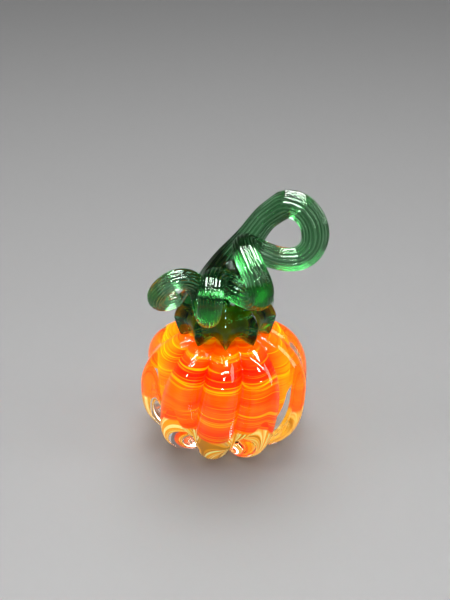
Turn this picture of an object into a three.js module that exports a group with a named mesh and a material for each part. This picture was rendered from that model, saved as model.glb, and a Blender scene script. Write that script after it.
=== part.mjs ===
// A solid glass pumpkin ornament in three pieces of glass: a clear lobed casing, the swirled colour core
// inside it, and a green bit on top that is star cap, leaning stem and coiled tendril in one.
// Millimetres, +Z up. The origin is the centre of the flat base, and the front faces -Y.
import * as THREE from "three";

// Casing
const LOBES = 10;
const BODY_RADIUS = 40.5; // at the waist, across the lobe crests
const WAIST_HEIGHT = 29;
const CROWN_RISE = 31; // from the waist to the top of the dome
const CROWN_POWER = 2.2; // 2 is an ellipse, more is squarer
const FOOT_DROP = 33; // from the waist to where the underside would close, below the flat base
const FOOT_POWER = 2.8;
const VALLEY_DEPTH = 0.25; // share of the crest radius that a valley cuts in
const LOBE_POWER = 0.8; // under 1 gives full lobes and narrow valleys
const TWIST_TOP = 54; // above this height the lobes run straight to the middle
const CREST_AT_TOP = 1; // degrees from the front to the nearest crest, under the cap
const TWIST_PER_MM = 0.27; // degrees that the lobes turn with each millimetre of height

// Core, which shows at a neck in the top of the casing
const CORE_RADIUS = 31;
const CORE_WAIST = 36;
const CORE_RISE = 22.5;
const CORE_DROP = 33.5;
const CORE_CROWN_POWER = 2.2;
const CORE_FOOT_POWER = 2.7;
const CORE_VALLEY_DEPTH = 0.2;
const NECK_RADIUS = 11;
const NECK_RIM_RADIUS = 16; // across the crests of the casing's last ring outside the neck
const FUSE_GAP = 0.3; // clearance that stands for each fused joint

// Green bit: where it meets the casing, then the bell and stem above it. The tips of its star rim stand on
// the lobes' crests, and its arches hang clear of the valleys, by a lift that fades out up the bell.
const STAR_TIP_RADIUS = 21.2;
const STAR_ARCH_RADIUS = 11;
const BELL_AND_STEM = [
  { centre: [0, 0, 56.9], ridge: 21.7, flute: 15.5, lift: 4.3 },
  { centre: [0, 0, 57.8], ridge: 22.1, flute: 19, lift: 4.3 },
  { centre: [0, 0, 60], ridge: 22.8, flute: 20.6, lift: 3.6 },
  { centre: [0, 0, 64], ridge: 23.8, flute: 21.5, lift: 2 },
  { centre: [0, 0, 67], ridge: 24.2, flute: 21.6, lift: 1.3 },
  { centre: [0, 0, 70.5], ridge: 22.5, flute: 20.2, lift: 0.5 },
  { centre: [0, 0, 74], ridge: 18.8, flute: 17.1, lift: 0 },
  { centre: [0.3, 0.2, 77.5], ridge: 15, flute: 13.7, lift: 0 },
  { centre: [1.2, 0.6, 82], ridge: 12.3, flute: 11.3, lift: 0 },
  { centre: [2.8, 1.2, 86.5], ridge: 10.3, flute: 9.4, lift: 0 },
  { centre: [5.2, 2.2, 91], ridge: 8.8, flute: 8, lift: 0 },
  { centre: [8, 3.3, 95.5], ridge: 7.3, flute: 6.6, lift: 0 },
  { centre: [11.2, 4.3, 100], ridge: 6.4, flute: 5.8, lift: 0 },
  { centre: [14.6, 4.9, 105], ridge: 5.9, flute: 5.3, lift: 0 },
  { centre: [18.6, 5, 110], ridge: 5.8, flute: 5.2, lift: 0 },
];

// Tendril: a left-handed helix that turns to face the front, the left and then the back. Each turn has a
// centre, a radius, the bearing of its near side (0 right, 90 front, 180 left) and a lean of its top to
// the left. The rows stand a quarter turn past each top, and the first and last only steer the ends.
const TURNS = [
  { centre: [30, 8, 106], radius: 11.4, bearing: 0, lean: -2 },
  { centre: [29.3, -2.8, 106.2], radius: 10.2, bearing: 12, lean: 15 },
  { centre: [9.8, -23.2, 94], radius: 8.4, bearing: 58, lean: 48 },
  { centre: [-5, -26, 84.6], radius: 7.6, bearing: 100, lean: 23 },
  { centre: [-23.7, -17.2, 84.8], radius: 6, bearing: 152, lean: -10 },
  { centre: [-23.6, -8.3, 77.2], radius: 5.7, bearing: 200, lean: -13 },
];
const FIRST_ROW_TURN = -0.75; // turns from the top of the big loop to the first row
const TENDRIL_START = -0.06;
const TENDRIL_END = 3.62;
// Radius over the ribs at each quarter turn, from the top of the big loop
const TENDRIL_RADII = [6.2, 6.2, 5.3, 5.2, 5.4, 5.7, 5.7, 5.5, 5.4, 5.3, 5.2, 4.9, 4.5, 4.2, 4, 3.6];
const RIB_DEPTH = 0.1; // share of the radius between the tendril's ribs
const TAIL_ROUNDING = [0.92, 0.7, 0.38]; // shrink of the last rings, for a fire-polished end

// Facets
const BODY_SEGMENTS = 8 * LOBES;
const CANE_SEGMENTS = 4 * LOBES;
const RINGS_PER_TURN = 15;
const CROWN_RINGS = 10;
const FOOT_RINGS = 7;
const CORE_RINGS = 8;
const UNDERSIDE_SHARES = [0.4, 0.6, 0.8, 1]; // rings under the cap, as shares of the star's outline

const radians = THREE.MathUtils.degToRad;
const lerp = THREE.MathUtils.lerp;

// Bearing of the lobe crest that is nearest the front, at a height.
function crestBearing(height) {
  return radians(CREST_AT_TOP + TWIST_PER_MM * (Math.min(height, TWIST_TOP) - TWIST_TOP));
}

// 0 on a lobe's crest and 1 in a valley: crests are round and valleys are sharp.
function valleyness(fromCrest) {
  return 1 - Math.abs(Math.cos((LOBES / 2) * fromCrest)) ** LOBE_POWER;
}

// 0 on a rib of the green bit and 1 in a flute: ribs are sharp and flutes are round.
function fluteness(fromRib) {
  return Math.abs(Math.sin((LOBES / 2) * fromRib));
}

// A point at a bearing from the front, counted towards +X.
function polar(radius, bearing, height) {
  return new THREE.Vector3(radius * Math.sin(bearing), -radius * Math.cos(bearing), height);
}

// Height of the casing's dome over a point of its top.
function domeHeight(radius, fromCrest) {
  const crestRadius = radius / (1 - VALLEY_DEPTH * valleyness(fromCrest));
  const share = 1 - (crestRadius / BODY_RADIUS) ** CROWN_POWER;
  return WAIST_HEIGHT + CROWN_RISE * share ** (1 / CROWN_POWER);
}

// Evenly spaced bearings round a full turn.
function bearings(count) {
  return Array.from({ length: count }, (_, i) => (2 * Math.PI * i) / count);
}

// One lobed ring of a round body, as points.
function lobedRing(crestRadius, height, depth) {
  return bearings(BODY_SEGMENTS).map((fromCrest) => {
    const radius = crestRadius * (1 - depth * valleyness(fromCrest));
    return polar(radius, fromCrest + crestBearing(height), height);
  });
}

// Quarter of a superellipse, from the waist (angle 0) to its pole (90 degrees).
function superellipse(angle, radius, rise, power) {
  const exponent = 2 / power;
  return { radius: radius * Math.cos(angle) ** exponent, rise: rise * Math.sin(angle) ** exponent };
}

// Angle on a superellipse at which its radius or its rise has shrunk to a share of the whole.
const angleAtRadius = (share, power) => Math.acos(share ** (power / 2));
const angleAtRise = (share, power) => Math.asin(share ** (power / 2));

// Closed solid through rings of equal length, with a pole point at each end.
function loft(firstPole, rings, lastPole) {
  const size = rings[0].length;
  const points = [firstPole, ...rings.flat(), lastPole];
  const last = points.length - 1;
  const index = [];
  for (let i = 0; i < size; i += 1) {
    const next = (i + 1) % size;
    index.push(0, 1 + next, 1 + i);
    for (let ring = 0; ring + 1 < rings.length; ring += 1) {
      const low = 1 + ring * size;
      const high = low + size;
      index.push(low + i, low + next, high + next, low + i, high + next, high + i);
    }
    const top = 1 + (rings.length - 1) * size;
    index.push(top + i, top + next, last);
  }
  const geometry = new THREE.BufferGeometry().setFromPoints(points);
  geometry.setIndex(index);
  geometry.computeVertexNormals();
  return geometry;
}

// Rings of the core's outside from its underside up to the neck, grown by a clearance.
function coreRings(clearance) {
  const radius = CORE_RADIUS + clearance;
  const neck = angleAtRadius((NECK_RADIUS + clearance) / radius, CORE_CROWN_POWER);
  const rings = [];
  for (let i = 1; i <= 2 * CORE_RINGS; i += 1) {
    const angle = lerp(-Math.PI / 2, neck, i / (2 * CORE_RINGS));
    const rise = (angle < 0 ? CORE_DROP : CORE_RISE) + clearance;
    const power = angle < 0 ? CORE_FOOT_POWER : CORE_CROWN_POWER;
    const spot = superellipse(Math.abs(angle), radius, rise, power);
    rings.push(lobedRing(spot.radius, CORE_WAIST + Math.sign(angle) * spot.rise, CORE_VALLEY_DEPTH));
  }
  return rings;
}

// Ring round the neck, with the core's lobes, level with the dome there.
function neckRing(clearance) {
  return bearings(BODY_SEGMENTS).map((fromCrest) => {
    const radius = (NECK_RADIUS + clearance) * (1 - CORE_VALLEY_DEPTH * valleyness(fromCrest));
    return polar(radius, fromCrest + crestBearing(TWIST_TOP), domeHeight(radius, fromCrest));
  });
}

function clearCasing() {
  const outside = [];
  const foot = angleAtRise(WAIST_HEIGHT / FOOT_DROP, FOOT_POWER);
  for (let i = FOOT_RINGS; i > 0; i -= 1) {
    const spot = superellipse((foot * i) / FOOT_RINGS, BODY_RADIUS, FOOT_DROP, FOOT_POWER);
    outside.push(lobedRing(spot.radius, WAIST_HEIGHT - spot.rise, VALLEY_DEPTH));
  }
  const rim = angleAtRadius(NECK_RIM_RADIUS / BODY_RADIUS, CROWN_POWER);
  for (let i = 0; i <= CROWN_RINGS; i += 1) {
    const spot = superellipse((rim * i) / CROWN_RINGS, BODY_RADIUS, CROWN_RISE, CROWN_POWER);
    outside.push(lobedRing(spot.radius, WAIST_HEIGHT + spot.rise, VALLEY_DEPTH));
  }
  const cavity = [neckRing(FUSE_GAP), ...coreRings(FUSE_GAP).reverse()];
  const baseCentre = new THREE.Vector3(0, 0, 0);
  const cavityFloor = new THREE.Vector3(0, 0, CORE_WAIST - CORE_DROP - FUSE_GAP);
  return loft(baseCentre, [...outside, ...cavity], cavityFloor);
}

function colorCore() {
  const floor = new THREE.Vector3(0, 0, CORE_WAIST - CORE_DROP);
  const top = new THREE.Vector3(0, 0, domeHeight(0, 0));
  return loft(floor, [...coreRings(0), neckRing(0)], top);
}

// Smooth value between the rows of the tendril's turns, for one of their numbers.
function betweenRows(turn, pick) {
  const place = turn - FIRST_ROW_TURN;
  const row = Math.min(Math.floor(place), TURNS.length - 2);
  const at = (i) => pick(TURNS[THREE.MathUtils.clamp(i, 0, TURNS.length - 1)]);
  const f = place - row;
  const slopeIn = (at(row + 1) - at(row - 1)) / 2;
  const slopeOut = (at(row + 2) - at(row)) / 2;
  const rise = at(row + 1) - at(row);
  return at(row) + f * (slopeIn + f * (3 * rise - 2 * slopeIn - slopeOut + f * (slopeIn + slopeOut - 2 * rise)));
}

// Centre line of the tendril, counted in turns from the top of the big loop.
function tendrilPoint(turn) {
  const centre = [0, 1, 2].map((axis) => betweenRows(turn, (row) => row.centre[axis]));
  const radius = betweenRows(turn, (row) => row.radius);
  const bearing = radians(betweenRows(turn, (row) => row.bearing));
  const lean = radians(betweenRows(turn, (row) => row.lean));
  const up = radius * Math.cos(2 * Math.PI * turn);
  const near = radius * Math.sin(2 * Math.PI * turn);
  return new THREE.Vector3(
    centre[0] - up * Math.sin(lean) + near * Math.cos(bearing),
    centre[1] - near * Math.sin(bearing),
    centre[2] + up * Math.cos(lean),
  );
}

// The green bit's centre line above the star rim, with the radius over its ribs and in its flutes, and the
// lift of its flutes.
function caneStations() {
  const stations = BELL_AND_STEM.map(({ centre, ...reach }) => {
    return { point: new THREE.Vector3(...centre), ...reach };
  });
  const steps = Math.round((TENDRIL_END - TENDRIL_START) * RINGS_PER_TURN);
  for (let i = 0; i <= steps; i += 1) {
    const turn = lerp(TENDRIL_START, TENDRIL_END, i / steps);
    const quarter = Math.max(4 * turn, 0);
    const from = Math.floor(quarter);
    const thickness = lerp(TENDRIL_RADII[from], TENDRIL_RADII[from + 1], quarter - from);
    const rounding = TAIL_ROUNDING[i - steps + TAIL_ROUNDING.length - 1] ?? 1;
    const ridge = thickness * rounding;
    stations.push({ point: tendrilPoint(turn), ridge, flute: ridge * (1 - RIB_DEPTH), lift: 0 });
  }
  return stations;
}

// Rings of ribs and flutes square to the centre line, carried along it without turning about it.
function caneRings(stations) {
  const forward = new THREE.Vector3(0, 0, 1);
  const front = polar(1, crestBearing(TWIST_TOP), 0);
  return stations.map(({ point, ridge, flute, lift }, i) => {
    const before = stations[Math.max(i - 1, 0)].point;
    const after = stations[Math.min(i + 1, stations.length - 1)].point;
    const direction = after.clone().sub(before).normalize();
    front.applyQuaternion(new THREE.Quaternion().setFromUnitVectors(forward, direction));
    front.addScaledVector(direction, -front.dot(direction)).normalize();
    forward.copy(direction);
    const side = direction.clone().cross(front);
    return bearings(CANE_SEGMENTS).map((fromRib) => {
      const radius = lerp(ridge, flute, fluteness(fromRib));
      return point.clone()
        .addScaledVector(front, radius * Math.cos(fromRib))
        .addScaledVector(side, radius * Math.sin(fromRib))
        .addScaledVector(direction, lift * fluteness(fromRib));
    });
  });
}

function greenStem() {
  const underside = UNDERSIDE_SHARES.map((share) => bearings(CANE_SEGMENTS).map((fromRib) => {
    const radius = share * lerp(STAR_TIP_RADIUS, STAR_ARCH_RADIUS, fluteness(fromRib));
    return polar(radius, fromRib + crestBearing(TWIST_TOP), domeHeight(radius, fromRib) + FUSE_GAP);
  }));
  const stations = caneStations();
  const rings = caneRings(stations);
  const tail = stations.at(-1).point.clone().sub(stations.at(-2).point).normalize();
  const tip = stations.at(-1).point.clone().addScaledVector(tail, stations.at(-1).ridge / 2);
  return loft(new THREE.Vector3(0, 0, domeHeight(0, 0) + FUSE_GAP), [...underside, ...rings], tip);
}

function piece(name, geometry, color) {
  const material = new THREE.MeshStandardMaterial({ color, roughness: 0.05, metalness: 0 });
  const mesh = new THREE.Mesh(geometry, material);
  mesh.name = name;
  return mesh;
}

const pumpkin = new THREE.Group();
pumpkin.add(
  piece("clear_casing", clearCasing(), 0xf6e6d2),
  piece("color_core", colorCore(), 0xff6a12),
  piece("green_stem", greenStem(), 0x1f6b3a),
);

export default pumpkin;
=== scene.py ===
"""Dresses the glass pumpkin: a clear lobed casing over a wound colour core, with a green ribbed cap,
stem and tendril in one piece, on a pale floor under soft studio light."""

import logging
import math
from dataclasses import dataclass, field, replace
from enum import Enum
from typing import Any, Sequence

import bpy
import numpy as np
from mathutils import Euler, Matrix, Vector

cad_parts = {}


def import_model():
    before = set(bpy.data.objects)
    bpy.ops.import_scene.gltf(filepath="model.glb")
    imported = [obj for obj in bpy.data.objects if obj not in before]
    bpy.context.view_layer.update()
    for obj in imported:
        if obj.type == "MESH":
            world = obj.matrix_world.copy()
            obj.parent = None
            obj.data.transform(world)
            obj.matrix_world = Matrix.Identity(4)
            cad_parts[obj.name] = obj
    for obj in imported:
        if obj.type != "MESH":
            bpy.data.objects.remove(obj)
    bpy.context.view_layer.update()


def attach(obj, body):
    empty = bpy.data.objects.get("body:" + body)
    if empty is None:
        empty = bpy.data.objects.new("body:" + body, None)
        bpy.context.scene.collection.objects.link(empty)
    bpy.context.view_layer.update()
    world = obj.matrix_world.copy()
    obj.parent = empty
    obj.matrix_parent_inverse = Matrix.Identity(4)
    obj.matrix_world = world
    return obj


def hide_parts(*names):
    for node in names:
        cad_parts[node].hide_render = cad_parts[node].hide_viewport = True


LOG = logging.getLogger("glass_pumpkin")
MM = 0.001
UP = Vector((0.0, 0.0, 1.0))
WHITE = "ffffff"
PAINTED_SHADE_ATTRIBUTE = "groove"

Tree = bpy.types.NodeTree
Socket = bpy.types.NodeSocket
Colour = tuple[float, float, float, float]


def linear(hex_colour: str) -> Colour:
    """Turns an sRGB hex colour into linear light.

    Args:
        hex_colour: six hex digits, with or without a leading #.

    Returns:
        Red, green, blue and a full alpha.
    """
    digits = hex_colour.lstrip("#")
    shares = [int(digits[i:i + 2], 16) / 255 for i in (0, 2, 4)]
    red, green, blue = (s / 12.92 if s <= 0.04045 else ((s + 0.055) / 1.055) ** 2.4 for s in shares)
    return red, green, blue, 1.0


def add(tree: Tree, kind: str, inputs: dict[int | str, Any] | None = None,
        **settings: Any) -> bpy.types.Node:
    """Adds a node with its settings, and sets or links its inputs.

    Args:
        tree: node tree that gets the node.
        kind: Blender's name for the type of node.
        inputs: value or output socket for each input, by name or number.
        settings: the node's own properties.

    Returns:
        The new node.
    """
    node = tree.nodes.new(kind)
    for name, value in settings.items():
        setattr(node, name, value)
    for key, value in (inputs or {}).items():
        if isinstance(value, Socket):
            tree.links.new(value, node.inputs[key])
        else:
            node.inputs[key].default_value = value
    return node


def blank_material(name: str) -> bpy.types.Material:
    """Makes a material whose node tree is empty.

    Args:
        name: the material's name.

    Returns:
        The material.
    """
    material = bpy.data.materials.new(name)
    material.use_nodes = True
    material.node_tree.nodes.clear()
    return material


class Section(Enum):
    """Cross-section of a ribbed ring: which of its ribs and flutes is round."""

    ROUND_LOBES = True
    SHARP_RIBS = False


@dataclass(frozen=True)
class Station:
    """One ring of a ribbed loft, in millimetres.

    It reaches out as far as rib on its ribs and flute in its flutes, its flutes lie higher by lift, and
    fine is the depth of its fine grooves. Its first rib or lobe points to the front.
    """

    centre: Vector
    rib: float
    flute: float
    lift: float = 0.0
    fine: float = 0.0
    axis: Vector = UP
    front: Vector = field(kw_only=True)


@dataclass(frozen=True)
class LoftSettings:
    """How a ribbed loft is skinned. The size of its waver is in metres."""

    segments: int
    section: Section
    ribs: int
    softness: float
    waviness: float
    fine_ribs: int = 20
    power: float = 1.0
    wave_size: float = 14 * MM
    seed: int = 3


class RibbedLoft:
    """A Geometry Nodes tree that skins ribbed rings over a row of stations."""

    INPUTS = {
        "Segments": "NodeSocketInt", "Ribs": "NodeSocketInt", "Fine Ribs": "NodeSocketInt",
        "Power": "NodeSocketFloat", "Softness": "NodeSocketFloat", "Round Lobes": "NodeSocketBool",
        "Waviness": "NodeSocketFloat", "Wave Size": "NodeSocketFloat", "Seed": "NodeSocketInt",
        "Material": "NodeSocketMaterial",
    }
    MERGE_DISTANCE = 0.002 * MM
    # Depth of the fine grooves from which the painted shade follows them alone.
    FULL_GROOVE = 0.2 * MM
    HALF_GRID = (0.5, 0.5, 0.0)
    NOISE_MEAN = 0.5
    NOISE_DETAIL = 1.0

    def __init__(self) -> None:
        """Builds the tree once, for every piece that uses it."""
        self.tree = bpy.data.node_groups.new("ribbed_loft", "GeometryNodeTree")
        self.tree.interface.new_socket("Geometry", in_out="INPUT", socket_type="NodeSocketGeometry")
        for name, kind in self.INPUTS.items():
            self.tree.interface.new_socket(name, in_out="INPUT", socket_type=kind)
        self.tree.interface.new_socket("Geometry", in_out="OUTPUT", socket_type="NodeSocketGeometry")
        self._wire()

    def _wire(self) -> None:
        """Adds the nodes: a flat grid, one row for each station, wrapped round the stations' axes, with a
        mask for painted shade in its grooves and flutes.
        """
        tree = self.tree
        given = add(tree, "NodeGroupInput").outputs
        rows = add(tree, "GeometryNodeAttributeDomainSize", {0: given["Geometry"]}).outputs["Point Count"]
        columns = add(tree, "ShaderNodeMath", {0: given["Segments"], 1: 1.0}, operation="ADD").outputs[0]
        grid = add(tree, "GeometryNodeMeshGrid", {"Vertices X": columns, "Vertices Y": rows}).outputs[0]
        position = add(tree, "GeometryNodeInputPosition").outputs[0]
        spot = add(tree, "ShaderNodeVectorMath", {0: position, 1: self.HALF_GRID}).outputs[0]
        share = add(tree, "ShaderNodeSeparateXYZ", {0: spot}).outputs
        turn = add(tree, "ShaderNodeMath", {0: share["X"], 1: 2 * math.pi}, operation="MULTIPLY").outputs[0]
        last = add(tree, "ShaderNodeMath", {0: rows, 1: 1.0}, operation="SUBTRACT").outputs[0]
        along = add(tree, "ShaderNodeMath", {0: share["Y"], 1: last}, operation="MULTIPLY").outputs[0]
        row = add(tree, "ShaderNodeMath", {0: along}, operation="ROUND").outputs[0]

        def at_station(attribute: Socket) -> Socket:
            """Reads a vector of the station that a grid point belongs to."""
            links = {"Geometry": given["Geometry"], "Value": attribute, "Index": row}
            return add(tree, "GeometryNodeSampleIndex", links, data_type="FLOAT_VECTOR").outputs[0]

        names = ("axis", "front", "reach", "relief")
        named = {name: add(tree, "GeometryNodeInputNamedAttribute", {"Name": name},
                           data_type="FLOAT_VECTOR").outputs["Attribute"] for name in names}
        centre = at_station(position)
        axis, front = at_station(named["axis"]), at_station(named["front"])
        reach = add(tree, "ShaderNodeSeparateXYZ", {0: at_station(named["reach"])}).outputs
        relief = add(tree, "ShaderNodeSeparateXYZ", {0: at_station(named["relief"])}).outputs
        fluteness = self._fluteness(given, turn, given["Ribs"])
        broad = add(tree, "ShaderNodeMix", {0: fluteness, 2: reach["X"], 3: reach["Y"]}).outputs[0]
        fine = self._fluteness(given, turn, given["Fine Ribs"])
        groove = add(tree, "ShaderNodeMath", {0: fine, 1: relief["X"]}, operation="MULTIPLY").outputs[0]
        radius = add(tree, "ShaderNodeMath", {0: broad, 1: groove}, operation="SUBTRACT").outputs[0]

        side = add(tree, "ShaderNodeVectorMath", {0: axis, 1: front}, operation="CROSS_PRODUCT").outputs[0]
        cosine = add(tree, "ShaderNodeMath", {0: turn}, operation="COSINE").outputs[0]
        sine = add(tree, "ShaderNodeMath", {0: turn}, operation="SINE").outputs[0]
        ahead = add(tree, "ShaderNodeVectorMath", {0: front, "Scale": cosine}, operation="SCALE").outputs[0]
        across = add(tree, "ShaderNodeVectorMath", {0: side, "Scale": sine}, operation="SCALE").outputs[0]
        outward = add(tree, "ShaderNodeVectorMath", {0: ahead, 1: across}).outputs[0]
        wavy = self._wavy(given, radius, outward, centre)
        lift = add(tree, "ShaderNodeMath", {0: relief["Y"], 1: fluteness}, operation="MULTIPLY").outputs[0]
        raised = add(tree, "ShaderNodeVectorMath", {0: axis, "Scale": lift}, operation="SCALE").outputs[0]
        level = add(tree, "ShaderNodeVectorMath", {0: centre, 1: raised}).outputs[0]
        spread = add(tree, "ShaderNodeVectorMath", {0: outward, "Scale": wavy}, operation="SCALE").outputs[0]
        place = add(tree, "ShaderNodeVectorMath", {0: level, 1: spread}).outputs[0]

        # Mask for painted shade in the green glass: the broad flutes where the fine grooves are shallow, the
        # fine grooves where they are deep.
        grooved = add(tree, "ShaderNodeMapRange", {
            "Value": relief["X"], "From Max": self.FULL_GROOVE}).outputs[0]
        shade = add(tree, "ShaderNodeMix", {0: grooved, 2: fluteness, 3: fine}).outputs[0]
        marked = add(tree, "GeometryNodeStoreNamedAttribute", {
            "Geometry": grid, "Name": PAINTED_SHADE_ATTRIBUTE, "Value": shade}, data_type="FLOAT", domain="POINT").outputs[0]
        wrapped = add(tree, "GeometryNodeSetPosition", {"Geometry": marked, "Position": place}).outputs[0]
        closed = add(tree, "GeometryNodeMergeByDistance", {
            "Geometry": wrapped, "Distance": self.MERGE_DISTANCE}).outputs[0]
        smooth = add(tree, "GeometryNodeSetShadeSmooth", {"Geometry": closed}).outputs[0]
        real = add(tree, "GeometryNodeRealizeInstances", {"Geometry": smooth}).outputs[0]
        dressed = add(tree, "GeometryNodeSetMaterial", {
            "Geometry": real, "Material": given["Material"]}).outputs[0]
        add(tree, "NodeGroupOutput", {"Geometry": dressed})

    def _fluteness(self, given: Any, turn: Socket, ribs: Socket) -> Socket:
        """Works out 0 on a rib and 1 in a flute, with the sharp one of the two softened.

        Args:
            given: the tree's input sockets.
            turn: angle round the ring, in radians.
            ribs: how many ribs go round it.

        Returns:
            The socket that holds it.
        """
        tree = self.tree
        half_ribs = add(tree, "ShaderNodeMath", {0: ribs, 1: 0.5}, operation="MULTIPLY").outputs[0]
        phase = add(tree, "ShaderNodeMath", {0: turn, 1: half_ribs}, operation="MULTIPLY").outputs[0]
        quarter = add(tree, "ShaderNodeMath", {0: given["Round Lobes"], 1: math.pi / 2},
                      operation="MULTIPLY").outputs[0]
        turned = add(tree, "ShaderNodeMath", {0: phase, 1: quarter}, operation="ADD").outputs[0]
        wave = add(tree, "ShaderNodeMath", {0: turned}, operation="SINE").outputs[0]
        soft = given["Softness"]
        soft_square = add(tree, "ShaderNodeMath", {0: soft, 1: soft}, operation="MULTIPLY").outputs[0]
        square = add(tree, "ShaderNodeMath", {0: wave, 1: wave, 2: soft_square},
                     operation="MULTIPLY_ADD").outputs[0]
        hill = add(tree, "ShaderNodeMath", {0: square}, operation="SQRT").outputs[0]
        top_square = add(tree, "ShaderNodeMath", {0: soft_square, 1: 1.0}, operation="ADD").outputs[0]
        top = add(tree, "ShaderNodeMath", {0: top_square}, operation="SQRT").outputs[0]
        share = add(tree, "ShaderNodeMapRange", {
            "Value": hill, "From Min": soft, "From Max": top}).outputs[0]
        bent = add(tree, "ShaderNodeMath", {0: share, 1: given["Power"]}, operation="POWER").outputs[0]
        other = add(tree, "ShaderNodeMath", {0: 1.0, 1: bent}, operation="SUBTRACT").outputs[0]
        return add(tree, "GeometryNodeSwitch", {
            "Switch": given["Round Lobes"], "False": bent, "True": other}, input_type="FLOAT").outputs[0]

    def _wavy(self, given: Any, radius: Socket, outward: Socket, centre: Socket) -> Socket:
        """Varies the radius a little, as glass that was shaped by hand does.

        Args:
            given: the tree's input sockets.
            radius: the even radius.
            outward: unit vector from the ring's centre.
            centre: the ring's centre.

        Returns:
            The socket that holds the uneven radius.
        """
        tree = self.tree
        arm = add(tree, "ShaderNodeVectorMath", {0: outward, "Scale": radius}, operation="SCALE").outputs[0]
        spot = add(tree, "ShaderNodeVectorMath", {0: centre, 1: arm}).outputs[0]
        scale = add(tree, "ShaderNodeMath", {0: 1.0, 1: given["Wave Size"]}, operation="DIVIDE").outputs[0]
        noise = add(tree, "ShaderNodeTexNoise", {
            "Vector": spot, "W": given["Seed"], "Scale": scale, "Detail": self.NOISE_DETAIL},
            noise_dimensions="4D").outputs[0]
        centred = add(tree, "ShaderNodeMath", {0: noise, 1: self.NOISE_MEAN}, operation="SUBTRACT").outputs[0]
        swing = add(tree, "ShaderNodeMath", {0: centred, 1: given["Waviness"], 2: 1.0},
                    operation="MULTIPLY_ADD").outputs[0]
        return add(tree, "ShaderNodeMath", {0: radius, 1: swing}, operation="MULTIPLY").outputs[0]

    def skin(self, name: str, stations: Sequence[Station], settings: LoftSettings,
             material: bpy.types.Material) -> bpy.types.Object:
        """Makes a closed piece over a row of stations.

        Args:
            name: the piece's name.
            stations: its rings in order, each end one with no radius.
            settings: how it is skinned.
            material: its finish.

        Returns:
            The piece, as a plain mesh in metres.
        """
        mesh = bpy.data.meshes.new(name)
        mesh.from_pydata([s.centre * MM for s in stations], [], [])
        rows = {"axis": [s.axis for s in stations], "front": [s.front for s in stations],
                "reach": [Vector((s.rib, s.flute, 0)) * MM for s in stations],
                "relief": [Vector((s.fine, s.lift, 0)) * MM for s in stations]}
        for key, vectors in rows.items():
            attribute = mesh.attributes.new(key, "FLOAT_VECTOR", "POINT")
            attribute.data.foreach_set("vector", np.array(vectors, np.float32).ravel())
        piece = bpy.data.objects.new(name, mesh)
        bpy.context.scene.collection.objects.link(piece)
        modifier = piece.modifiers.new("ribbed loft", "NODES")
        modifier.node_group = self.tree
        values = {"Segments": settings.segments, "Ribs": settings.ribs, "Fine Ribs": settings.fine_ribs,
                  "Power": settings.power, "Softness": settings.softness,
                  "Round Lobes": settings.section.value, "Waviness": settings.waviness,
                  "Wave Size": settings.wave_size, "Seed": settings.seed, "Material": material}
        for socket in self.tree.interface.items_tree:
            if socket.in_out == "INPUT" and socket.name in values:
                modifier[socket.identifier] = values[socket.name]
        graph = bpy.context.evaluated_depsgraph_get()
        skinned = bpy.data.meshes.new_from_object(piece.evaluated_get(graph), depsgraph=graph)
        piece.modifiers.clear()
        piece.data = skinned
        bpy.data.meshes.remove(mesh)
        skinned.name = name
        return piece


def polar(bearing_degrees: float) -> Vector:
    """Gives the unit vector at a bearing from the front, counted towards +X."""
    bearing = math.radians(bearing_degrees)
    return Vector((math.sin(bearing), -math.cos(bearing), 0.0))


def superellipse(angle: float, radius: float, rise: float, power: float) -> tuple[float, float]:
    """Gives a point of a superellipse's quarter.

    Args:
        angle: from 0 at the waist to a right angle at the pole.
        radius: half its width.
        rise: its height.
        power: 2 for an ellipse, and more for a squarer one.

    Returns:
        The radius and the rise there.
    """
    reach = radius * max(math.cos(angle), 0.0) ** (2 / power)
    return reach, rise * max(math.sin(angle), 0.0) ** (2 / power)


@dataclass(frozen=True)
class ClearGlass:
    """Clear crystal glass, polished by the flame."""

    ior: float = 1.5
    roughness: float = 0.0
    light_through: str = "b4aea8"

    def material(self) -> bpy.types.Material:
        """Builds the clear glass.

        Returns:
            The material, which lets most of the lamps' light through to the colour inside.
        """
        # Crystal glass has no colour of its own. It shows as sharp highlights and a bent view of the core.
        material = blank_material("clear_crystal_glass")
        tree = material.node_tree
        glass = add(tree, "ShaderNodeBsdfPrincipled", {
            "Base Color": linear(WHITE), "Roughness": self.roughness, "IOR": self.ior,
            "Transmission Weight": 1.0})
        through = add(tree, "ShaderNodeBsdfTransparent", {"Color": linear(self.light_through)})
        shadow = add(tree, "ShaderNodeLightPath").outputs["Is Shadow Ray"]
        mixed = add(tree, "ShaderNodeMixShader", {0: shadow, 1: glass.outputs[0], 2: through.outputs[0]})
        add(tree, "ShaderNodeOutputMaterial", {"Surface": mixed.outputs[0]})
        return material


@dataclass(frozen=True)
class Streaks:
    """Lines of another colour in the glass: their size on the level and upwards, in millimetres.

    A line starts where its noise passes one number, and has its full colour at another.
    """

    colour: str
    across: float
    upward: float
    starts: float
    full: float
    seed: float
    detail: float = 2.0
    distortion: float = 0.3

    def over(self, tree: Tree, below: Socket | Colour, here: Socket) -> Socket:
        """Lays the lines over a colour, as noise that is longer one way than the other.

        Args:
            tree: the material's nodes.
            below: the colour between the lines.
            here: the coordinates.

        Returns:
            The socket that holds the colour with its lines.
        """
        size = (1 / (self.across * MM), 1 / (self.across * MM), 1 / (self.upward * MM))
        place = add(tree, "ShaderNodeMapping", {"Vector": here, "Scale": size}).outputs[0]
        noise = add(tree, "ShaderNodeTexNoise", {
            "Vector": place, "W": self.seed, "Scale": 1.0, "Detail": self.detail,
            "Distortion": self.distortion}, noise_dimensions="4D").outputs[0]
        share = add(tree, "ShaderNodeMapRange", {
            "Value": noise, "From Min": self.starts, "From Max": self.full}).outputs[0]
        return add(tree, "ShaderNodeMix", {0: share, 6: below, 7: linear(self.colour)},
                   data_type="RGBA").outputs[2]


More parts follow.
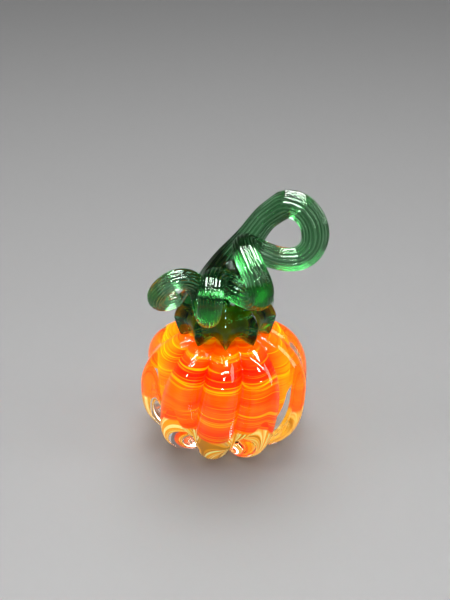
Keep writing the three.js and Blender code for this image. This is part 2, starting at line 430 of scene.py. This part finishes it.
@dataclass(frozen=True)
class WoundColourGlass:
    """Orange glass wound on hot: level bands of red, orange and amber, bright threads, and a gold foot.

    Heights and sizes are in millimetres.
    """

    height: float = 60.0
    bands: tuple[tuple[float, str], ...] = (
        (16.5, "ff6400"), (19.0, "ff5000"), (22.0, "ff6e00"), (25.0, "ff5400"),
        (29.0, "ff6c00"), (32.0, "fc4a00"), (36.0, "ff6600"), (39.4, "ff6000"),
        (40.0, "ffb400"), (40.8, "ff5a00"), (42.0, "f03000"), (45.5, "de1a00"),
        (48.0, "f63800"), (51.0, "ff5c00"), (54.0, "ff6800"), (58.0, "ff7400"),
    )
    waver: float = 2.2
    waver_size: float = 24.0
    waver_seed: float = 0.0
    waver_detail: float = 2.0
    waver_noise: tuple[float, float] = (0.3, 0.7)
    amber: str = "ff9c08"
    amber_from: float = 24.0
    amber_full: float = 40.0
    amber_spread: float = 12.0
    threads: Streaks = Streaks("ffa800", 45.0, 0.8, 0.57, 0.67, 0.0)
    hairs: Streaks = Streaks("ea3c00", 30.0, 0.35, 0.5, 0.75, 4.0)
    foot_top: float = 15.5
    foot_blur: float = 1.0
    foot_radius: float = 25.0
    foot_colour: str = "f0b01c"
    foot_pale: Streaks = Streaks("ffec9c", 0.8, 30.0, 0.5, 0.58, 0.0)
    foot_dark: Streaks = Streaks("c88a14", 0.8, 30.0, 0.52, 0.66, 6.0)
    # Painted glow, as emission strength: all over, added in the foot, and rising to the neck between these
    # heights.
    glow: float = 0.26
    painted_foot_glow: float = 0.08
    painted_neck_glow: float = 0.5
    neck_from: float = 55.5
    neck_full: float = 58.5
    roughness: float = 0.4
    ior: float = 1.5
    gloss: float = 0.0

    def material(self) -> bpy.types.Material:
        """Builds the colour glass.

        Returns:
            The material: the winding, the foot below it, and a painted glow for the light that both carry
                inside.
        """
        # Opaque orange glass, fused into the casing. It shows as colour alone, with no skin of its own to
        # shine.
        # Its emission is a painted glow that stands in for the light real glass carries inside: a little all
        # over, more in the foot, and most at the neck under the green cap.
        material = blank_material("wound_orange_glass")
        tree = material.node_tree
        here = add(tree, "ShaderNodeTexCoord").outputs["Object"]
        place = add(tree, "ShaderNodeSeparateXYZ", {0: here}).outputs
        drift = add(tree, "ShaderNodeTexNoise", {
            "Vector": here, "W": self.waver_seed, "Detail": self.waver_detail,
            "Scale": 1 / (self.waver_size * MM)}, noise_dimensions="4D").outputs[0]
        noise_low, noise_high = self.waver_noise
        shift = add(tree, "ShaderNodeMapRange", {
            "Value": drift, "From Min": noise_low, "From Max": noise_high,
            "To Min": -self.waver * MM, "To Max": self.waver * MM}, clamp=False).outputs[0]
        level = add(tree, "ShaderNodeMath", {0: place["Z"], 1: shift}, operation="ADD").outputs[0]
        low = add(tree, "ShaderNodeMapRange", {
            "Value": level, "From Min": (self.foot_top + self.foot_blur) * MM,
            "From Max": self.foot_top * MM}).outputs[0]
        wound = self._winding(tree, here, place["X"], drift, level)
        colour = add(tree, "ShaderNodeMix", {0: low, 6: wound, 7: self._foot(tree, here)},
                     data_type="RGBA").outputs[2]
        # Painted glow: emission that rises towards the neck and is raised in the foot.
        painted_glow_strength = add(tree, "ShaderNodeMapRange", {
            "Value": place["Z"], "From Min": self.neck_from * MM, "From Max": self.neck_full * MM,
            "To Min": self.glow, "To Max": self.painted_neck_glow}).outputs[0]
        light = add(tree, "ShaderNodeMath", {0: low, 1: self.painted_foot_glow, 2: painted_glow_strength},
                    operation="MULTIPLY_ADD").outputs[0]
        glass = add(tree, "ShaderNodeBsdfPrincipled", {
            "Base Color": colour, "Roughness": self.roughness, "IOR": self.ior,
            "Specular IOR Level": self.gloss, "Emission Color": colour, "Emission Strength": light})
        add(tree, "ShaderNodeOutputMaterial", {"Surface": glass.outputs[0]})
        return material

    def _winding(self, tree: Tree, here: Socket, sideways: Socket, drift: Socket, level: Socket) -> Socket:
        """Adds bands that waver, amber to both sides, and hairs and threads over them.

        Args:
            tree: the material's nodes.
            here: the coordinates.
            sideways: the first of them, which runs across the front.
            drift: slow noise.
            level: height in the winding, which wavers with the noise.

        Returns:
            The socket that holds the colour.
        """
        share = add(tree, "ShaderNodeMath", {0: level, 1: self.height * MM}, operation="DIVIDE").outputs[0]
        ramp = add(tree, "ShaderNodeValToRGB", {0: share})
        stops = ramp.color_ramp.elements
        stops.remove(stops[0])
        for height, colour in self.bands:
            stops.new(height / self.height).color = linear(colour)
        stops.remove(stops[len(stops) - 1])
        beside = add(tree, "ShaderNodeMath", {0: sideways}, operation="ABSOLUTE").outputs[0]
        uneven = add(tree, "ShaderNodeMath", {0: drift, 1: self.amber_spread * MM, 2: beside},
                     operation="MULTIPLY_ADD").outputs[0]
        outer = add(tree, "ShaderNodeMapRange", {
            "Value": uneven, "From Min": self.amber_from * MM, "From Max": self.amber_full * MM}).outputs[0]
        wound = add(tree, "ShaderNodeMix", {0: outer, 6: ramp.outputs[0], 7: linear(self.amber)},
                    data_type="RGBA").outputs[2]
        for lines in (self.hairs, self.threads):
            wound = lines.over(tree, wound, here)
        return wound

    def _foot(self, tree: Tree, here: Socket) -> Socket:
        """Adds the gold foot, whose streaks run out from the middle of the base and up its side.

        Args:
            tree: the material's nodes.
            here: the coordinates.

        Returns:
            The socket that holds the colour.
        """
        flat = add(tree, "ShaderNodeVectorMath", {0: here, 1: (1.0, 1.0, 0.0)},
                   operation="MULTIPLY").outputs[0]
        outward = add(tree, "ShaderNodeVectorMath", {0: flat}, operation="NORMALIZE").outputs[0]
        around = add(tree, "ShaderNodeVectorMath", {0: outward, "Scale": self.foot_radius * MM},
                     operation="SCALE").outputs[0]
        gold = self.foot_dark.over(tree, linear(self.foot_colour), around)
        return self.foot_pale.over(tree, gold, around)


@dataclass(frozen=True)
class GreenGlass:
    """Transparent green bottle glass, polished by the flame."""

    ior: float = 1.5
    roughness: float = 0.0
    absorption_colour: str = "38cc70"
    absorption_density: float = 130.0
    # Painted shade: its colour in the grooves and flutes, and where on the groove mask it starts and is full.
    painted_groove_shade: str = "80ac8c"
    groove_shade_starts: float = 0.35
    groove_shade_full: float = 1.0

    def material(self) -> bpy.types.Material:
        """Builds the green glass.

        Returns:
            The material, whose colour deepens with its thickness, with painted shade in its grooves and
            flutes.
        """
        # Bottle glass has its colour in its depth: thin stretches glow green and thick ones go dark olive.
        # Such shallow ribs hardly show in the render by their refraction, so their grooves and flutes get
        # painted shade: a darker base colour in place of the dark lines their refraction would draw.
        material = blank_material("green_bottle_glass")
        tree = material.node_tree
        # Painted shade: the groove mask darkens the glass's own colour in its grooves and flutes.
        groove = add(tree, "ShaderNodeAttribute", attribute_name=PAINTED_SHADE_ATTRIBUTE).outputs["Fac"]
        shade = add(tree, "ShaderNodeMapRange", {
            "Value": groove, "From Min": self.groove_shade_starts, "From Max": self.groove_shade_full}).outputs[0]
        colour = add(tree, "ShaderNodeMix", {0: shade, 6: linear(WHITE), 7: linear(self.painted_groove_shade)},
                     data_type="RGBA").outputs[2]
        glass = add(tree, "ShaderNodeBsdfPrincipled", {
            "Base Color": colour, "Roughness": self.roughness, "IOR": self.ior, "Transmission Weight": 1.0})
        depth = add(tree, "ShaderNodeVolumeAbsorption", {
            "Color": linear(self.absorption_colour), "Density": self.absorption_density})
        add(tree, "ShaderNodeOutputMaterial", {"Surface": glass.outputs[0], "Volume": depth.outputs[0]})
        return material


@dataclass(frozen=True)
class LobedBody:
    """The casing and the core, which share their lobes and their twist. Sizes are in millimetres."""

    lobes: int = 10
    radius: float = 40.5
    waist: float = 29.0
    crown_rise: float = 31.0
    crown_power: float = 2.2
    foot_drop: float = 33.0
    foot_power: float = 2.8
    valley_depth: float = 0.25
    valley_softness: float = 0.08
    lobe_power: float = 0.8
    waviness: float = 0.006
    twist_top: float = 54.0
    crest_at_top: float = 1.0
    twist_per_mm: float = 0.27
    core_radius: float = 31.0
    core_waist: float = 36.0
    core_rise: float = 22.5
    core_drop: float = 33.5
    core_power: float = 2.2
    core_foot_power: float = 2.7
    core_valley_depth: float = 0.2
    neck_radius: float = 11.0
    last_crest: float = 16.0
    fused_depth: float = 0.1
    core_top_raised: float = 0.2
    segments: int = 240
    casing_rings: int = 120
    core_rings: int = 60
    top_rings: int = 8

    def facing(self, height: float) -> Vector:
        """Gives the direction of the front crest at a height."""
        return polar(self.crest_at_top + self.twist_per_mm * (min(height, self.twist_top) - self.twist_top))

    def dome_height(self, radius: float, valleyness: float = 0.0) -> float:
        """Gives the height of the dome over a point of the top.

        Args:
            radius: distance from the axis.
            valleyness: 0 over a crest, 1 over a valley.

        Returns:
            The height above the base.
        """
        crest = radius / (1 - self.valley_depth * valleyness)
        fall = 1 - (crest / self.radius) ** self.crown_power
        return self.waist + self.crown_rise * fall ** (1 / self.crown_power)

    def ring(self, crest: float, height: float, depth: float) -> Station:
        """Makes a level ring with valleys of some depth."""
        return Station(Vector((0, 0, height)), crest, crest * (1 - depth), front=self.facing(height))

    def neck(self, clearance: float, raised: float, share: float = 1.0) -> Station:
        """Makes the ring where the core meets the dome, or a smaller one inside it.

        Args:
            clearance: how much larger than the core it is.
            raised: how far above the dome it lies.
            share: its size as a share of the neck's.

        Returns:
            The ring.
        """
        crest = (self.neck_radius + clearance) * share
        valley = crest * (1 - self.core_valley_depth)
        height = self.dome_height(crest)
        dip = self.dome_height(valley, 1.0) - height
        return Station(Vector((0, 0, height + raised)), crest, valley, dip, front=self.facing(height))

    def core_stations(self, clearance: float) -> list[Station]:
        """Lists the core's rings from its underside to the neck.

        Args:
            clearance: how much larger than the core they are.

        Returns:
            The rings, of which the first has no radius.
        """
        radius = self.core_radius + clearance
        neck = math.acos(((self.neck_radius + clearance) / radius) ** (self.core_power / 2))
        stations = []
        for angle in np.linspace(-math.pi / 2, neck, self.core_rings):
            rise = (self.core_drop if angle < 0 else self.core_rise) + clearance
            power = self.core_foot_power if angle < 0 else self.core_power
            reach, climb = superellipse(abs(angle), radius, rise, power)
            height = self.core_waist + math.copysign(climb, angle)
            stations.append(self.ring(reach, height, self.core_valley_depth))
        return stations

    def casing_stations(self) -> list[Station]:
        """Lists the casing's rings.

        Returns:
            The rings of the flat base, the outside, the neck and the hollow that the core fills.
        """
        foot = math.asin((self.waist / self.foot_drop) ** (self.foot_power / 2))
        last = math.acos((self.last_crest / self.radius) ** (self.crown_power / 2))
        stations = [self.ring(0.0, 0.0, 0.0)]
        for angle in np.linspace(-foot, last, self.casing_rings):
            power = self.foot_power if angle < 0 else self.crown_power
            rise = self.foot_drop if angle < 0 else self.crown_rise
            reach, climb = superellipse(abs(angle), self.radius, rise, power)
            stations.append(self.ring(reach, self.waist + math.copysign(climb, angle), self.valley_depth))
        return stations + [self.neck(0.0, 0.0)] + self.core_stations(0.0)[::-1]

    def build(self, loft: RibbedLoft) -> tuple[bpy.types.Object, bpy.types.Object]:
        """Makes the casing and the core.

        Args:
            loft: the tree that skins rings.

        Returns:
            The casing and the core.
        """
        settings = LoftSettings(self.segments, Section.ROUND_LOBES, self.lobes, self.valley_softness,
                                self.waviness, power=self.lobe_power)
        casing = loft.skin("casing", self.casing_stations(), settings, ClearGlass().material())
        shares = np.linspace(1, 0, self.top_rings)
        top = [self.neck(self.fused_depth, self.core_top_raised, share) for share in shares]
        rings = self.core_stations(self.fused_depth) + top
        still = replace(settings, waviness=0.0)
        return casing, loft.skin("wound_core", rings, still, WoundColourGlass().material())


@dataclass(frozen=True)
class Turn:
    """One turn of the tendril: its centre and radius, the bearing of its near side, its top's lean."""

    centre: tuple[float, float, float]
    radius: float
    bearing: float
    lean: float

    def row(self) -> list[float]:
        """Gives the turn as plain numbers."""
        return [*self.centre, self.radius, self.bearing, self.lean]


def smooth_rows(rows: np.ndarray, places: np.ndarray) -> np.ndarray:
    """Runs a smooth curve through rows of numbers.

    Args:
        rows: one row for each whole place, from 0.
        places: where to read the curve.

    Returns:
        One row for each place.
    """
    count = len(rows)
    first = np.clip(np.floor(places).astype(int), 0, count - 2)
    share = (places - first)[:, None]
    here, there = rows[first], rows[first + 1]
    slope_in = (there - rows[np.clip(first - 1, 0, count - 1)]) / 2
    slope_out = (rows[np.clip(first + 2, 0, count - 1)] - here) / 2
    rise = there - here
    cubic = slope_in + slope_out - 2 * rise
    square = 3 * rise - 2 * slope_in - slope_out
    return here + share * (slope_in + share * (square + share * cubic))


@dataclass(frozen=True)
class GreenBit:
    """The star cap, stem and tendril, which are one gather of glass. Sizes are in millimetres.

    Each row of the bell and stem is a ring: its centre, the reach of its ribs and of its flutes, and how
    much higher its flutes lie.
    """

    body: LobedBody
    tip_radius: float = 21.2
    arch_radius: float = 11.0
    sunk: float = 0.15
    bell_and_stem: tuple[tuple[float, ...], ...] = (
        (0, 0, 56.9, 21.7, 15.5, 4.3), (0, 0, 57.8, 22.1, 19, 4.3), (0, 0, 60, 22.8, 20.6, 3.6),
        (0, 0, 64, 23.8, 21.5, 2), (0, 0, 67, 24.2, 21.6, 1.3), (0, 0, 70.5, 22.5, 20.2, 0.5),
        (0, 0, 74, 18.8, 17.1, 0), (0.3, 0.2, 77.5, 15, 13.7, 0), (1.2, 0.6, 82, 12.3, 11.3, 0),
        (2.8, 1.2, 86.5, 10.3, 9.4, 0), (5.2, 2.2, 91, 8.8, 8, 0), (8, 3.3, 95.5, 7.3, 6.6, 0),
        (11.2, 4.3, 100, 6.4, 5.8, 0), (14.6, 4.9, 105, 5.9, 5.3, 0), (18.6, 5, 110, 5.8, 5.2, 0),
    )
    turns: tuple[Turn, ...] = (
        Turn((30, 8, 106), 11.4, 0, -2), Turn((29.3, -2.8, 106.2), 10.2, 12, 15),
        Turn((9.8, -23.2, 94), 8.4, 58, 48), Turn((-5, -26, 84.6), 7.6, 100, 23),
        Turn((-23.7, -17.2, 84.8), 6, 152, -10), Turn((-23.6, -8.3, 77.2), 5.7, 200, -13),
    )
    first_turn: float = -0.75
    start: float = -0.06
    end: float = 3.62
    quarter_radii: tuple[float, ...] = (
        6.2, 6.2, 5.3, 5.2, 5.4, 5.7, 5.7, 5.5, 5.4, 5.3, 5.2, 4.9, 4.5, 4.2, 4, 3.6,
    )
    ribs_from: float = 76.0
    ribs_full: float = 96.0
    rib_depth: float = 0.065
    rib_softness: float = 0.12
    plain_share: float = 0.01
    waviness: float = 0.02
    tail_length: float = 0.7
    segments: int = 160
    rows_per_turn: int = 110
    rows_per_step: int = 10
    tail_rows: int = 12

    def tendril(self, turn: np.ndarray) -> np.ndarray:
        """Follows the tendril's centre line.

        Args:
            turn: turns from the top of the big loop.

        Returns:
            A point for each, in millimetres.
        """
        rows = smooth_rows(np.array([t.row() for t in self.turns]), turn - self.first_turn)
        bearing, lean = np.radians(rows[:, 4]), np.radians(rows[:, 5])
        up, near = rows[:, 3] * np.cos(2 * np.pi * turn), rows[:, 3] * np.sin(2 * np.pi * turn)
        sideways = near * np.cos(bearing) - up * np.sin(lean)
        return rows[:, :3] + np.stack([sideways, -near * np.sin(bearing), up * np.cos(lean)], 1)

    def rows(self) -> np.ndarray:
        """Lists the rings above the star rim.

        Returns:
            A row for each: centre, reach of ribs and flutes, lift of the flutes, depth of fine grooves.
        """
        tip, arch = self.body.dome_height(self.tip_radius), self.body.dome_height(self.arch_radius, 1.0)
        lower = [(0, 0, tip - self.sunk, self.tip_radius, self.arch_radius, arch - tip, 0)]
        for *centre, rib, flute, lift in self.bell_and_stem:
            share = np.interp(centre[2], (self.ribs_from, self.ribs_full), (0, 1))
            broad = flute + (rib - flute - rib * self.plain_share) * share
            lower.append((*centre, rib, broad, lift, rib * self.rib_depth * share))
        turn = np.linspace(self.start, self.end, round((self.end - self.start) * self.rows_per_turn))
        thick = np.interp(4 * turn, np.arange(len(self.quarter_radii)), self.quarter_radii)
        plain = thick * (1 - self.plain_share)
        curl = np.column_stack([self.tendril(turn), thick, plain, 0 * turn, thick * self.rib_depth])
        joined = np.vstack([lower, curl[:2]])
        steps = np.linspace(0, len(lower), len(lower) * self.rows_per_step, endpoint=False)
        return np.vstack([smooth_rows(joined, steps), curl])

    def stations(self) -> list[Station]:
        """Lists all rings.

        Returns:
            The rings from the middle of the underside to the end of the tail.
        """
        front = self.body.facing(self.body.twist_top)
        stations = []
        for share in np.linspace(0, 1, self.rows_per_step, endpoint=False):
            tip, arch = share * self.tip_radius, share * self.arch_radius
            height = self.body.dome_height(tip)
            lift = self.body.dome_height(arch, 1.0) - height
            stations.append(Station(Vector((0, 0, height - self.sunk)), tip, arch, lift, front=front))
        rows = self.rows()
        ahead = np.gradient(rows[:, :3], axis=0)
        axis = UP.copy()
        for i, (*centre, rib, flute, lift, fine) in enumerate(rows):
            direction = Vector(ahead[i]).normalized() if i > self.rows_per_step else UP.copy()
            front = axis.rotation_difference(direction) @ front
            front = (front - direction * front.dot(direction)).normalized()
            axis = direction
            stations.append(Station(Vector(centre), rib, flute, lift, fine, axis, front=front))
        return stations + self._tail(stations[-1])

    def _tail(self, last: Station) -> list[Station]:
        """Lists the rings that round off the tendril's end.

        Args:
            last: the last full ring.

        Returns:
            The rings, of which the last has no radius.
        """
        rings = []
        for angle in np.linspace(0, math.pi / 2, self.tail_rows + 1)[1:]:
            shrink = math.cos(angle) if angle < math.pi / 2 else 0.0
            centre = last.centre + last.axis * last.rib * math.sin(angle) * self.tail_length
            rings.append(replace(last, centre=centre, rib=last.rib * shrink, flute=last.flute * shrink,
                                 fine=last.fine * shrink))
        return rings

    def build(self, loft: RibbedLoft) -> bpy.types.Object:
        """Makes the green bit with the tree that skins rings."""
        settings = LoftSettings(self.segments, Section.SHARP_RIBS, self.body.lobes, self.rib_softness,
                                self.waviness)
        return loft.skin("green_cap_and_tendril", self.stations(), settings, GreenGlass().material())


def heading(bearing: float, elevation: float) -> Vector:
    """Gives the unit vector towards a bearing from the front and a height above the horizon, in degrees."""
    rise = math.radians(elevation)
    return polar(bearing) * math.cos(rise) + UP * math.sin(rise)


@dataclass(frozen=True)
class Daylight:
    """Soft light from far off, which is even over the whole floor and doesn't show in gloss."""

    name: str = "back_light"
    bearing: float = 180.0
    elevation: float = 58.0
    spread: float = 50.0
    strength: float = 3.4

    def build(self) -> None:
        """Adds the light to the scene."""
        light = bpy.data.lights.new(self.name, "SUN")
        light.energy, light.angle = self.strength, math.radians(self.spread)
        sun = bpy.data.objects.new(self.name, light)
        sun.visible_glossy = False
        sun.rotation_euler = heading(self.bearing, self.elevation).to_track_quat("Z", "Y").to_euler()
        bpy.context.scene.collection.objects.link(sun)


@dataclass(frozen=True)
class Lamp:
    """A soft rectangular lamp, placed by its bearing from the front and its height above the horizon.

    Distances and sizes are in metres, angles in degrees, and power in watts.
    """

    name: str
    bearing: float
    elevation: float
    distance: float
    width: float
    depth: float
    power: float
    lights_matt: bool = True
    shows_in_gloss: bool = True

    def build(self, aim: Vector) -> None:
        """Hangs the lamp.

        Args:
            aim: the point that it faces.
        """
        light = bpy.data.lights.new(self.name, "AREA")
        light.shape, light.energy = "RECTANGLE", self.power
        light.size, light.size_y = self.width, self.depth
        lamp = bpy.data.objects.new(self.name, light)
        away = heading(self.bearing, self.elevation)
        lamp.location = aim + away * self.distance
        lamp.visible_diffuse, lamp.visible_glossy = self.lights_matt, self.shows_in_gloss
        lamp.rotation_euler = away.to_track_quat("Z", "Y").to_euler()
        bpy.context.scene.collection.objects.link(lamp)


@dataclass(frozen=True)
class Studio:
    """The pale floor, the soft lamps and the camera, in metres and degrees."""

    floor_colour: str = "6c6c6c"
    floor_roughness: float = 0.7
    floor_size: float = 80.0
    floor_gap: float = 0.4 * MM
    camera_place: tuple[float, float, float] = (0.0, -0.3628, 0.2676)
    camera_pitch: float = 28.5
    camera_near: float = 0.01
    lens: float = 54.0
    sky: float = 0.18
    contrast: float = 0.86
    exposure: float = 0.1
    aim_height: float = 60 * MM
    daylight: Daylight = Daylight()
    lamps: tuple[Lamp, ...] = (
        Lamp("right_softbox", 80.0, 45.0, 1.6, 0.35, 0.9, 8.0, shows_in_gloss=False),
        Lamp("left_softbox", -80.0, 45.0, 1.6, 0.35, 0.9, 8.0, shows_in_gloss=False),
        Lamp("top_panel", 180.0, 84.0, 1.2, 1.0, 0.8, 76.0, lights_matt=False),
        Lamp("right_panel", 75.0, 35.0, 1.4, 0.5, 0.9, 7.0, lights_matt=False),
        Lamp("front_strip", 0.0, 66.0, 1.0, 1.0, 0.05, 5.0),
        Lamp("upper_lamp", -2.0, 54.0, 1.0, 0.16, 0.08, 2.2),
        Lamp("lower_lamp", -6.0, 34.0, 1.0, 0.10, 0.06, 2.2),
    )

    def build(self) -> None:
        """Makes the floor, the sky, the lamps and the camera."""
        view = bpy.context.scene.view_settings
        view.view_transform, view.gamma, view.exposure = "Standard", self.contrast, self.exposure
        self._floor()
        self._sky()
        self.daylight.build()
        for lamp in self.lamps:
            lamp.build(Vector((0, 0, self.aim_height)))
        self._camera()

    def _floor(self) -> None:
        """Lays the floor."""
        mesh = bpy.data.meshes.new("floor")
        half = self.floor_size / 2
        corners = [(-half, -half), (half, -half), (half, half), (-half, half)]
        mesh.from_pydata([(x, y, -self.floor_gap) for x, y in corners], [], [(0, 1, 2, 3)])
        floor = bpy.data.objects.new("floor", mesh)
        bpy.context.scene.collection.objects.link(floor)
        # Matt paint: an even pale grey, with no reflections to draw the eye from the glass.
        material = blank_material("matt_floor")
        tree = material.node_tree
        paint = add(tree, "ShaderNodeBsdfPrincipled", {
            "Base Color": linear(self.floor_colour), "Roughness": self.floor_roughness})
        add(tree, "ShaderNodeOutputMaterial", {"Surface": paint.outputs[0]})
        mesh.materials.append(material)

    def _sky(self) -> None:
        """Sets an even soft light from all round."""
        world = bpy.data.worlds.new("studio")
        bpy.context.scene.world = world
        world.use_nodes = True
        tree = world.node_tree
        tree.nodes.clear()
        glow = add(tree, "ShaderNodeBackground", {"Color": linear(WHITE), "Strength": self.sky})
        add(tree, "ShaderNodeOutputWorld", {"Surface": glow.outputs[0]})

    def _camera(self) -> None:
        """Places the camera at the photograph's viewing angle."""
        camera = bpy.data.objects.new("camera", bpy.data.cameras.new("camera"))
        camera.data.lens, camera.data.clip_start = self.lens, self.camera_near
        camera.location = self.camera_place
        camera.rotation_euler = Euler((math.radians(90 - self.camera_pitch), 0, 0))
        bpy.context.scene.collection.objects.link(camera)
        bpy.context.scene.camera = camera


def main() -> None:
    """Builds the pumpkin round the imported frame, and the studio round the pumpkin."""
    logging.basicConfig(level=logging.INFO, format="%(name)s: %(message)s")
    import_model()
    loft = RibbedLoft()
    body = LobedBody()
    casing, core = body.build(loft)
    green = GreenBit(body).build(loft)
    dressing = ((casing, "clear_casing", "clear_glass"), (core, "color_core", "orange_glass"),
                (green, "green_stem", "green_glass"))
    for piece, node, slot in dressing:
        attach(piece, "root")
        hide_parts(node)
        LOG.info("%s stands for %s, with %d faces", piece.name, node, len(piece.data.polygons))
    Studio().build()


if __name__ == "__main__":
    main()
